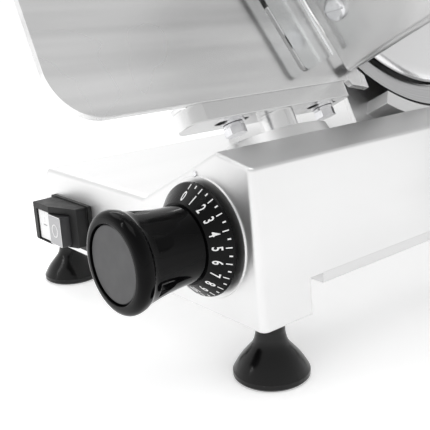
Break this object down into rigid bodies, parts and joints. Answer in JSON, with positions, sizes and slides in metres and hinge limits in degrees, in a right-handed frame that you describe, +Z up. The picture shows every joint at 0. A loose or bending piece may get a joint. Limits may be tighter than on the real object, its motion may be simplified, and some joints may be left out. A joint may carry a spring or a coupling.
{
  "type": "deli meat slicer",
  "caption": "Gravity-feed meat slicer: leaning round blade in a ring guard, sliding tray with pusher, gauge plate set by a scalloped dial knob, push-button switch, bell feet.",
  "frame": {"origin": "on the bench under the middle of the machine", "axes": "+X to the operator's right and the carriage side, +Y from the operator to the back, +Z up"},
  "size_m": [0.4111, 0.5115, 0.4325],
  "materials": {
    "cast_aluminium": "satin brushed and anodised",
    "polished_aluminium": "polished",
    "blade_steel": "ground, hard chromed",
    "stainless_steel": "turned",
    "zinc_steel": "bright plated",
    "black_plastic": "gloss",
    "matte_black": "matte",
    "grey_plastic": "fine matte",
    "light_grey_plastic": "gloss",
    "white_plastic": "gloss",
    "clear_acrylic": "polished, clear",
    "foot_rubber": "moulded",
    "belt_rubber": "ribbed",
    "bronze": "sintered",
    "motor_paint": "semi-gloss",
    "abrasive": "coarse abrasive"
  },
  "bodies": {
    "base": {"base_casting": "cast_aluminium", "bottom_cover": "stainless_steel", "feet": "foot_rubber", "foot_studs": "zinc_steel", "index_pin": "stainless_steel", "motor_housing": "cast_aluminium", "ring_guard": "cast_aluminium", "belt_cover": "cast_aluminium", "bearings": "stainless_steel", "motor_body": "motor_paint", "drive_belt": "belt_rubber", "capacitor": "grey_plastic", "power_inlet": "matte_black", "switch_housing": "matte_black", "dial_bush": "bronze", "gauge_slide_rod": "stainless_steel", "slide_bracket": "cast_aluminium", "carriage_rods": "stainless_steel", "sharpener_post": "stainless_steel", "slice_deflector": "stainless_steel", "blade_cover": "polished_aluminium"},
    "blade_rotor": {"blade": "blade_steel", "blade_shaft": "stainless_steel", "blade_screws": "zinc_steel", "blade_pulley": "cast_aluminium"},
    "motor_rotor": {"motor_shaft": "stainless_steel", "motor_pulley": "cast_aluminium"},
    "cover_tie": {"tie_rod": "stainless_steel", "tie_knob": "black_plastic"},
    "dial": {"dial_skirt": "black_plastic", "knob_grip": "black_plastic", "knob_cap": "grey_plastic", "dial_shaft": "stainless_steel", "spiral_cam": "cast_aluminium"},
    "gauge": {"gauge_plate": "polished_aluminium", "gauge_arm": "cast_aluminium", "cam_follower": "stainless_steel", "gauge_bolts": "zinc_steel", "gauge_washers": "zinc_steel"},
    "start_button": {"on_button": "white_plastic"},
    "stop_button": {"off_button": "light_grey_plastic"},
    "carriage": {"slide_block": "cast_aluminium", "bushings": "bronze", "carriage_arm": "cast_aluminium", "meat_tray": "polished_aluminium", "hand_guard": "clear_acrylic", "guard_screws": "zinc_steel", "pusher_rod": "stainless_steel", "rod_holders": "cast_aluminium"},
    "tray_lock": {"lock_knob": "black_plastic"},
    "pusher_slider": {"pusher_collar": "stainless_steel"},
    "pusher": {"pusher_arm": "polished_aluminium", "pusher_plate": "polished_aluminium", "pusher_handle": "black_plastic"},
    "sharpener": {"sharpener_body": "cast_aluminium"},
    "sharpener_lock": {"sharpener_knob": "black_plastic"},
    "grinder": {"grinding_plunger": "stainless_steel"},
    "grinder_wheel": {"grinding_stone": "abrasive"},
    "honer": {"honing_plunger": "stainless_steel"},
    "honer_wheel": {"honing_stone": "abrasive"}
  },
  "joints": [
    {"name": "blade_spin", "type": "hinge", "parent": "base", "child": "blade_rotor", "pos_m": [-0.00727, 0.091, 0.25397], "axis": [0.891, 0, 0.454], "continuous": true},
    {"name": "motor_spin", "type": "hinge", "parent": "base", "child": "motor_rotor", "pos_m": [0.03677, 0.091, 0.16754], "axis": [0.891, 0, 0.454], "continuous": true},
    {"name": "cover_tie_turn", "type": "hinge", "parent": "base", "child": "cover_tie", "pos_m": [-0.00727, 0.091, 0.25397], "axis": [0.891, 0, 0.454], "range_deg": [0, 720]},
    {"name": "dial_turn", "type": "hinge", "parent": "base", "child": "dial", "pos_m": [0.0415, -0.165, 0.088], "axis": [0, -1, 0], "range_deg": [-2, 206]},
    {"name": "gauge_slide", "type": "slide", "parent": "base", "child": "gauge", "axis": [-0.891, 0, -0.454], "range_m": [0, 0.012]},
    {"name": "start_press", "type": "slide", "parent": "base", "child": "start_button", "axis": [0, 1, 0], "range_m": [0, 0.003], "stiffness_N_per_m": 400, "springref_m": -0.002},
    {"name": "stop_press", "type": "slide", "parent": "base", "child": "stop_button", "axis": [0, 1, 0], "range_m": [0, 0.004], "stiffness_N_per_m": 400, "springref_m": -0.002},
    {"name": "carriage_slide", "type": "slide", "parent": "base", "child": "carriage", "axis": [0, 1, 0], "range_m": [-0.185, 0.07]},
    {"name": "tray_lock_turn", "type": "hinge", "parent": "carriage", "child": "tray_lock", "pos_m": [0.15553, 0.11817, 0.21927], "axis": [-0.4385, -0.2588, 0.8606], "range_deg": [0, 360]},
    {"name": "pusher_slide", "type": "slide", "parent": "carriage", "child": "pusher_slider", "axis": [0.891, 0, 0.454], "range_m": [-0.119, 0.018]},
    {"name": "pusher_swing", "type": "hinge", "parent": "pusher_slider", "child": "pusher", "pos_m": [0.10621, -0.0384, 0.34691], "axis": [0.891, 0, 0.454], "range_deg": [0, 110]},
    {"name": "sharpener_lift", "type": "slide", "parent": "base", "child": "sharpener", "axis": [-0.454, 0, 0.891], "range_m": [0, 0.045]},
    {"name": "sharpener_lock_turn", "type": "hinge", "parent": "sharpener", "child": "sharpener_lock", "pos_m": [-0.106, 0.137, 0.41691], "axis": [-0.454, 0, 0.891], "range_deg": [0, 360]},
    {"name": "grinder_press", "type": "slide", "parent": "sharpener", "child": "grinder", "axis": [0.891, 0, 0.454], "range_m": [0, 0.0035], "stiffness_N_per_m": 400, "springref_m": -0.003},
    {"name": "grinder_spin", "type": "hinge", "parent": "grinder", "child": "grinder_wheel", "pos_m": [-0.07264, 0.091, 0.38228], "axis": [0.891, 0, 0.454], "continuous": true},
    {"name": "honer_press", "type": "slide", "parent": "sharpener", "child": "honer", "axis": [-0.891, 0, -0.454], "range_m": [0, 0.0035], "stiffness_N_per_m": 400, "springref_m": -0.003},
    {"name": "honer_spin", "type": "hinge", "parent": "honer", "child": "honer_wheel", "pos_m": [-0.07264, 0.091, 0.38228], "axis": [0.891, 0, 0.454], "continuous": true}
  ],
  "couplings": [
    {"joint": "motor_spin", "follows": "blade_spin", "ratio": 3.6154},
    {"joint": "dial_turn", "follows": "gauge_slide", "rad_per_m": 296.71}
  ]
}
